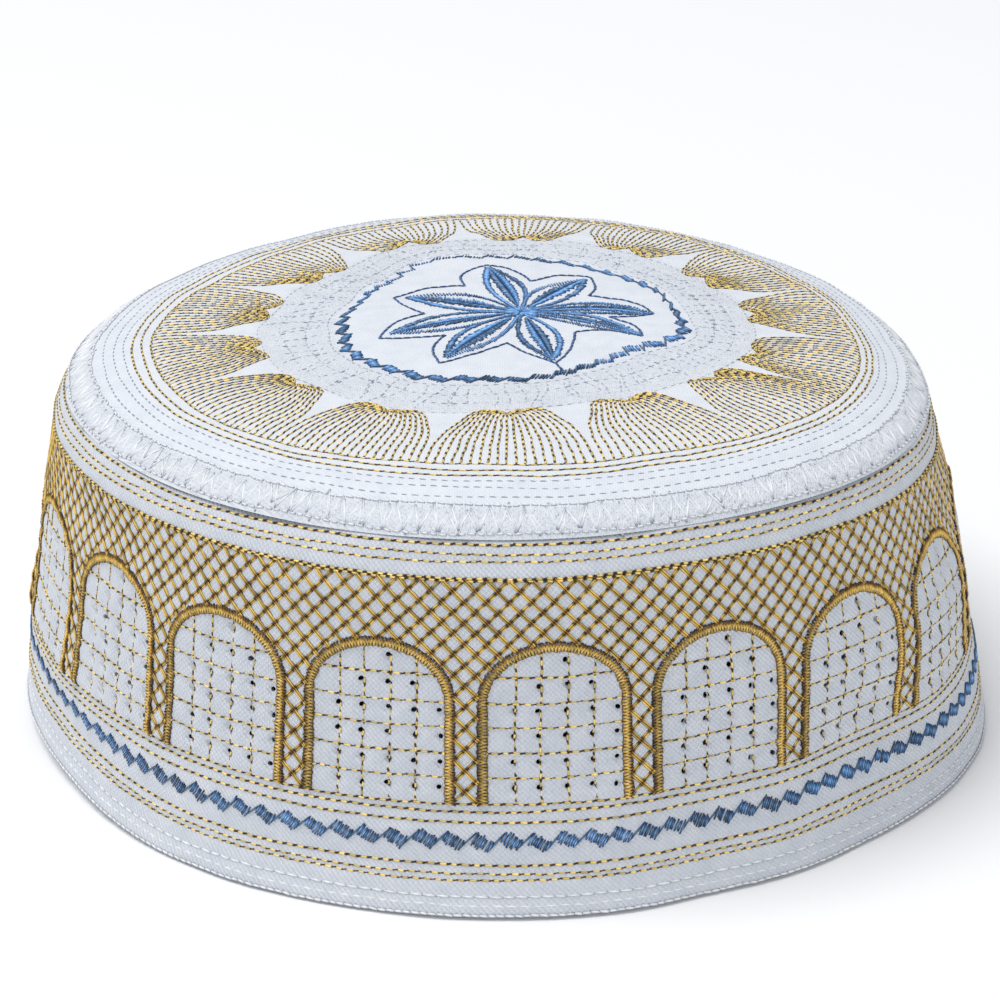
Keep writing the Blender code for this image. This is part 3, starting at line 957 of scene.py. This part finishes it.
# %% Sew the net
STRAND_THREADS = (-0.14, 0.14)
Strand = namedtuple("Strand", "direction past proud")
NET_STRANDS = {"gold_net_under": Strand(-1.0, 0.0, 0.0), "gold_net_over": Strand(1.0, 0.06, 0.14)}
rows = int((NET_TOP - ARCH_FOOT) / NET_DROP)
column_numbers, row_numbers = np.meshgrid(np.arange(NET_CELLS), np.arange(rows))
column_numbers, row_numbers = column_numbers.ravel(), row_numbers.ravel()
node_angle = (column_numbers + 0.5 * (row_numbers % 2)) * NET_STEP
node_height = NET_TOP - row_numbers * NET_DROP
shares = np.linspace(0.0, 1.0, 17)
for name, (direction, past, proud) in NET_STRANDS.items():
    lines = []
    angles = node_angle[:, None] + direction * NET_STEP / 2 * shares
    heights = node_height[:, None] - NET_DROP * shares
    open_cloth = (arch_distance(angles, heights) > 0.55) & (heights > ARCH_FOOT)
    kept = open_cloth.sum(axis=1) > 3
    first = shares[open_cloth.argmax(axis=1)][kept] - past
    last = shares[len(shares) - 1 - open_cloth[:, ::-1].argmax(axis=1)][kept] + past
    jog = rng.normal(0.0, 0.06, (kept.sum(), 2))
    for offset in STRAND_THREADS:
        across = direction * NET_STEP / 2
        aside = (direction * offset + jog) / MM_PER_DEGREE
        begin = np.stack((node_angle[kept] + across * first + aside[:, 0],
                          node_height[kept] - NET_DROP * first + offset), axis=-1)
        finish = np.stack((node_angle[kept] + across * last + aside[:, 1],
                           node_height[kept] - NET_DROP * last + offset), axis=-1)
        start, end, out, shade = satin(on_band, begin, finish, slack=0.04)
        lines.append((start, end, out, shade))
    material = net_over if direction > 0 else net_under
    sew(name, lines, 0.38, 0.36, material, lift=0.08 + proud)
lines = [running(ring_path(on_band, NET_TOP + shift, waver=0.05), 1.7) for shift in (-0.1, 0.25)]
sew("gold_net_heading", lines, 0.42, 0.42, gold_running, lift=0.14)

# %% [markdown]
# ### The blue border
#
# Little leaning blocks of satin step down to the right, each joined to the next by one long thread.

# %% Sew the blue border
BLOCK_THREADS = 8


def slanting_blocks(lay, centres, heading, slant, row_mm, thread_mm, shades):
    """Blocks of slanted threads side by side, each joined to the next by one longer thread."""
    row = np.stack((np.cos(heading), np.sin(heading)), axis=-1) * row_mm[:, None]
    lean = np.stack((np.cos(slant), np.sin(slant)), axis=-1) * thread_mm[:, None] / 2
    begin, finish, shade = [], [], []
    for block, centre in enumerate(centres):
        centre = centre + rng.normal(0.0, 0.12, 2)
        for number in range(BLOCK_THREADS):
            middle = centre + row[block] * (number / (BLOCK_THREADS - 1) - 0.5) + rng.normal(0.0, 0.06, 2)
            reach = lean[block] * (1.0 + rng.normal(0.0, 0.12))
            begin.append(middle - reach)
            finish.append(middle + reach)
            shade.append(shades[block] + rng.normal(0.0, 0.25))
        following = (block + 1) % len(centres)
        begin.append(middle - 0.7 * lean[block])
        finish.append(centres[following] - row[following] / 2 + 0.8 * lean[following])
        shade.append(0.05)
    start, end, out, _ = satin(lay, np.array(begin), np.array(finish), slack=0.1)
    near = np.linalg.norm(end - start, axis=1) < 2.5 * np.max(row_mm)
    return start[near], end[near], out[near], np.clip(shade, 0.0, 1.0)[near]


BORDER_BLOCKS = 115
BORDER_LEVEL = 13.4
BORDER_FALL = -27.0
BORDER_SLANT = 61.0
BORDER_ROW = 3.1
BORDER_THREAD = 2.1

sew_angle = np.arange(BORDER_BLOCKS) * 360.0 / BORDER_BLOCKS
every = np.ones(BORDER_BLOCKS)
centres = np.stack((sew_angle * MM_PER_DEGREE, BORDER_LEVEL * every), axis=-1)
shades = 0.42 + 0.18 * np.sin(np.radians(sew_angle) * 11)
blocks = slanting_blocks(lambda x, y: on_band(x / MM_PER_DEGREE, y), centres,
                         math.radians(BORDER_FALL) * every, math.radians(BORDER_SLANT) * every,
                         BORDER_ROW * every, BORDER_THREAD * every, shades)
sew("blue_border", [blocks], 0.36, 0.42, blue_rayon, lift=0.12)

# %% [markdown]
# ### The crown's fans
#
# Fourteen fans of running stitch spread from points round the quilted ring to the gold rings. Their outer
# lines first run back towards the flower, then bow outwards, so each fan has the notched top of a shell.

# %% Sew the fans
FAN_COUNT = 14
FAN_PHASE = -0.3
FAN_LINES = 9
FAN_APEX = 50.2
FAN_FOOT = 69.0
FAN_HALF_ANGLE = 12.2
FAN_HUMP = 2.8
FAN_PITCH = 1.9


def fan_line(centre, spread):
    """One line of a fan. spread runs from -1, the left edge, to 1, the right edge."""
    share = np.linspace(0.03, 1.0, 60)
    angle = centre + FAN_HALF_ANGLE * spread * (1.0 - (1.0 - share) ** 2.7)
    hump = FAN_HUMP * abs(spread) * np.sin(math.pi * np.minimum(share / 0.45, 1.0))
    radius = FAN_APEX + (FAN_FOOT - FAN_APEX) * share ** 2.1 - hump
    return on_crown(angle + pulls_at(angle)[0], radius)


lines = []
for fan in range(FAN_COUNT):
    centre = FAN_PHASE + 360.0 / FAN_COUNT * fan
    for number in range(-FAN_LINES, FAN_LINES + 1):
        lines.append(running(fan_line(centre, number / FAN_LINES), FAN_PITCH, wander=0.07))
sew("gold_fans", lines, 0.42, 0.34, gold_running, lift=0.06)

# %% [markdown]
# ### White stitching
#
# White thread on white cloth only shows by its shadow. On the crown it sinks in and leaves grey dashes:
# three rings outside the gold ones and the quilting between the flower and the fans. At the hem it lies
# on top, as plump white dashes between needle holes. The seam between crown and band is closed by a wide
# zigzag.

# %% Sew the white rings and the quilting
lines = [running(ring_path(on_crown, level, waver=0.1), 1.9, fill=0.62) for level in CROWN_WHITE_RINGS]
lines = [(start, end, out, 0.0 * shade) for start, end, out, shade in lines]
quilting = [running(ring_path(on_crown, level, waver=0.25), 1.9, fill=0.6) for level in QUILT_RINGS]
for spoke in range(96):
    angle = 3.75 * spoke + rng.normal(0.0, 1.0)
    radius = np.linspace(36.8 + rng.random() * 2, 47.6 - rng.random() * 3, 30)
    sway = angle + 1.2 * np.sin(radius / 2.2 + spoke) + np.linspace(0.0, rng.normal(0.0, 2.0), 30)
    quilting.append(running(on_crown(sway, radius), 1.8, wander=0.1, fill=0.6))
lines += [(start, end, out, 0.0 * shade + 1.0) for start, end, out, shade in quilting]
sew("white_sunk_stitches", lines, 0.28, 0.2, sunk_cotton, lift=0.03)

# %% Sew the zigzag seam and the hem
ZIGZAGS = 158
corner = np.arange(2 * ZIGZAGS + 1)
angle = corner * 180.0 / ZIGZAGS + rng.normal(0.0, 0.1, len(corner))
radius = np.where(corner % 2, SEAM_OUTER, SEAM_INNER) + rng.normal(0.0, 0.25, len(corner))
ends = np.stack((angle, radius), axis=-1)
zigzag = satin(on_crown, ends[:-1], ends[1:])
loose = ends + rng.normal(0.0, 1.0, ends.shape) * (0.4, 0.5)
tangle = satin(on_crown, loose[:-1], loose[1:])
edges = [running(ring_path(on_crown, level, waver=0.12), 1.6, wander=0.12, fill=0.8) for level in (79.3, 83.7)]
sew("white_zigzag_seam", [zigzag, tangle] + edges, 0.4, 0.5, white_cotton, lift=0.1)
lines = [running(ring_path(on_band, level, waver=0.05), 2.3) for level in HEM_LINES]
lines.append(running(ring_path(on_band, 0.75, waver=0.02), 1.5))
sew("white_hem_lines", lines, 0.46, 0.38, white_cotton, lift=0.06)

# %% [markdown]
# ### The flower
#
# Eight petals round a dense heart, inside a ring of blue blocks. The flower is drawn in the crown's plan:
# x to the right and y to the back, in mm from the crown's axis. One running line goes round all the
# petals. In each, two bands of short threads make a leaf, and a spindle of satin fills its middle.

# %% Sew the flower
LEAF_WIDTH = 1.1
LEAF_SPACING = 0.6
SPINDLE_SPACING = 0.5
Petal = namedtuple("Petal", "tip_x tip_y bow_in notch_x notch_y bow_out leaf_x leaf_y left right spindle")
FLOWER_HEART = np.array((2.7, 1.0))
PETALS = (
    Petal(-4.0, 29.0, 0.22, 4.7, 19.0, 0.14, -3.7, 27.0, 0.10, 0.145, 1.6),
    Petal(16.7, 22.0, 0.23, 15.9, 10.3, 0.10, 15.3, 20.0, 0.195, 0.14, 1.7),
    Petal(28.3, 1.0, 0.16, 19.3, -1.7, 0.05, 27.6, 1.0, 0.20, 0.02, 1.5),
    Petal(25.0, -11.7, 0.17, 12.8, -10.0, -0.12, 24.5, -11.2, 0.17, 0.03, 1.2),
    Petal(8.8, -25.7, 0.06, -0.1, -15.7, 0.04, 8.3, -24.0, 0.15, 0.127, 1.5),
    Petal(-12.5, -25.8, 0.03, -11.7, -11.0, 0.12, -11.2, -22.7, 0.11, 0.15, 1.7),
    Petal(-24.1, -12.0, 0.05, -15.7, 0.7, 0.14, -21.7, -9.7, 0.105, 0.17, 1.4),
    Petal(-22.0, 10.7, 0.09, -8.3, 16.0, 0.14, -19.3, 10.7, 0.13, 0.20, 1.8),
)


def on_plan(points):
    """Points of the crown's cloth above places of its plan."""
    x, y = points[:, 0], points[:, 1]
    angle = np.degrees(np.arctan2(x, -y))
    return on_crown(angle, drawn_radius(angle, np.hypot(x, y)))


def plan_threads(begin, finish, shade):
    """Threads laid from place to place of the crown's plan."""
    start, out = on_plan(begin)
    end, _ = on_plan(finish)
    return start, end, out, np.clip(shade + rng.normal(0.0, 0.25, len(start)), 0.0, 1.0)


def bowed(start, end, bow, share):
    """Places on a line from start to end that bows to its left by a share of its length."""
    side = np.array((-(end - start)[1], (end - start)[0]))
    return start + (end - start) * share[:, None] + side * (bow * np.sin(math.pi * share ** 1.1))[:, None]


shares = np.linspace(0.0, 1.0, 40)
outline, leaves, spindles = [], [], []
for number, petal in enumerate(PETALS):
    before = PETALS[number - 1]
    tip = np.array((petal.tip_x, petal.tip_y))
    notch_before = np.array((before.notch_x, before.notch_y))
    notch_after = np.array((petal.notch_x, petal.notch_y))
    outline.append(running(on_plan(bowed(notch_before, tip, petal.bow_in, shares)), 1.8))
    outline.append(running(on_plan(bowed(tip, notch_after, petal.bow_out, shares)), 1.8))
    leaf_tip = np.array((petal.leaf_x, petal.leaf_y))
    length = np.linalg.norm(leaf_tip - FLOWER_HEART)
    along = np.linspace(0.1, 1.0, int(length / LEAF_SPACING))
    ahead = (leaf_tip - FLOWER_HEART) / length
    side = np.array((-ahead[1], ahead[0]))
    for bow, turned in ((petal.left, 1.0), (-petal.right, -1.0)):
        middle = bowed(FLOWER_HEART, leaf_tip, bow, along)
        half = LEAF_WIDTH / 2 * (1.0 + rng.normal(0.0, 0.2, (len(along), 1)))
        reach = (side * turned + ahead * 0.9) * half
        leaves.append(plan_threads(middle - reach, middle + reach, 0.55 + 0.2 * turned))
    along = np.linspace(0.14, 0.96, int(length / SPINDLE_SPACING))
    spine = bowed(FLOWER_HEART, leaf_tip, (petal.left - petal.right) / 2, along)
    half = petal.spindle * np.sin(math.pi * (along - 0.1) / 0.9)[:, None] ** 0.8
    half = half * (1.0 + rng.normal(0.0, 0.14, half.shape))
    spindles.append(plan_threads(spine - ahead * 0.3, spine + side * half + ahead * 0.5, 0.15))
    spindles.append(plan_threads(spine - side * half + ahead * 0.5, spine - ahead * 0.3, 0.75))
heart_angle = rng.random(90) * math.tau
heart_reach = 1.2 + 3.2 * rng.random(90)[:, None]
rays = np.stack((np.cos(heart_angle), np.sin(heart_angle)), axis=-1)
heart = plan_threads(FLOWER_HEART + rays * 0.3, FLOWER_HEART + rays * heart_reach, 0.75)
jump = running(on_plan(np.linspace((8.9, -25.8), (10.4, -29.5), 8)), 6.0)
sew("blue_flower_lines", outline + [jump], 0.5, 0.36, blue_outline, lift=0.08)
sew("blue_flower_satin", leaves + spindles + [heart], 0.36, 0.4, blue_rayon, lift=0.1)

# %% [markdown]
# ### The ring round the flower
#
# The ring is made of blocks like the border's. The cloth was turned under the needle as it was sewn, so
# the slant and length of the threads change round it, and a short table gives them at a few angles.

# %% Sew the ring round the flower
RING_BLOCKS = 44
RING_RADIUS = 34.2
RING_FALL = -20.0
Slant = namedtuple("Slant", "angle thread_deg thread_mm row_mm")
SLANTS = np.array((
    Slant(-180, 60, 1.0, 4.4),
    Slant(-135, 115, 0.9, 4.4),
    Slant(-90, 35, 2.3, 2.6),
    Slant(-45, 30, 2.2, 3.0),
    Slant(0, 60, 2.2, 3.4),
    Slant(30, 85, 2.0, 3.6),
    Slant(80, 135, 2.3, 3.0),
    Slant(135, 30, 1.7, 3.4),
    Slant(180, 60, 1.0, 4.4),
))

angle = (np.arange(RING_BLOCKS) + 0.4) * 360.0 / RING_BLOCKS - 180.0
radius = RING_RADIUS + pull_out(angle, RING_RADIUS)
turn = np.radians(angle)
centres = np.stack((radius * np.sin(turn), -radius * np.cos(turn)), axis=-1)
tangent = np.roll(centres, -1, axis=0) - np.roll(centres, 1, axis=0)
heading = np.arctan2(tangent[:, 1], tangent[:, 0]) + math.radians(RING_FALL)
slant, thread_mm, row_mm = (np.interp(angle, SLANTS[:, 0], SLANTS[:, k]) for k in (1, 2, 3))
shades = 0.45 + 0.35 * np.cos(4 * (turn + 0.65))
blocks = slanting_blocks(lambda x, y: on_plan(np.stack((x, y), axis=-1)), centres, heading,
                         np.radians(slant), row_mm, thread_mm, shades)
sew("blue_ring", [blocks], 0.38, 0.42, blue_rayon, lift=0.1)

# %% [markdown]
# ## Floor, light and camera
#
# A white cap on a white floor needs soft light from one side, or it has no form. One large soft source
# stands high to the front left, a weaker one fills from the right, and the pale sky does the rest.

# %% Floor
deselect_all()
bpy.ops.mesh.primitive_plane_add(size=8.0, location=(0.0, 0.0, -0.0001))
floor = bpy.context.active_object
floor.name = "studio_floor"
bpy.ops.object.transform_apply(location=True)
floor_paint, floor_shader = new_finish("matt pale studio floor", 0.9, 1.45)
floor_shader.inputs["Base Color"].default_value = linear("#FFFFFF")
floor.data.materials.append(floor_paint)

# %% Light
world = bpy.data.worlds.new("soft studio sky")
bpy.context.scene.world = world
world.use_nodes = True
world.node_tree.nodes["Background"].inputs["Color"].default_value = linear("#F6F9FF")
world.node_tree.nodes["Background"].inputs["Strength"].default_value = 0.5


def soft_light(name, place, target, size, power):
    lamp = bpy.data.lights.new(name, "AREA")
    lamp.size = size
    lamp.energy = power
    holder = bpy.data.objects.new(name, lamp)
    holder.location = place
    holder.rotation_euler = (Vector(target) - Vector(place)).to_track_quat("-Z", "Y").to_euler()
    bpy.context.collection.objects.link(holder)


soft_light("key", (-0.9, -0.25, 2.6), (0.0, 0.0, 0.04), 1.5, 48.0)
soft_light("fill", (1.1, -0.9, 0.7), (0.0, 0.0, 0.04), 0.9, 1.7)
bpy.context.scene.view_settings.view_transform = "Standard"

# %% Camera
CAMERA_PITCH = math.radians(22.80)
CAMERA_ROLL = math.radians(0.39)
CAMERA_DISTANCE = 0.620
CAMERA_LENS = 114.4
AIM = Vector((0.0014, 0.0003, 0.045))
AIM_IN_IMAGE = (508.3, 468.1)
IMAGE_SIZE = 1000

camera_data = bpy.data.cameras.new("camera")
camera = bpy.data.objects.new("camera", camera_data)
bpy.context.collection.objects.link(camera)
camera_data.lens = CAMERA_LENS
camera_data.shift_x = (IMAGE_SIZE / 2 - AIM_IN_IMAGE[0]) / IMAGE_SIZE
camera_data.shift_y = (AIM_IN_IMAGE[1] - IMAGE_SIZE / 2) / IMAGE_SIZE
away = Vector((0.0, -math.cos(CAMERA_PITCH), math.sin(CAMERA_PITCH)))
camera.location = AIM + away * CAMERA_DISTANCE
camera.rotation_euler = (math.pi / 2 - CAMERA_PITCH, 0.0, 0.0)
camera.rotation_euler.rotate_axis("Z", -CAMERA_ROLL)
bpy.context.scene.camera = camera
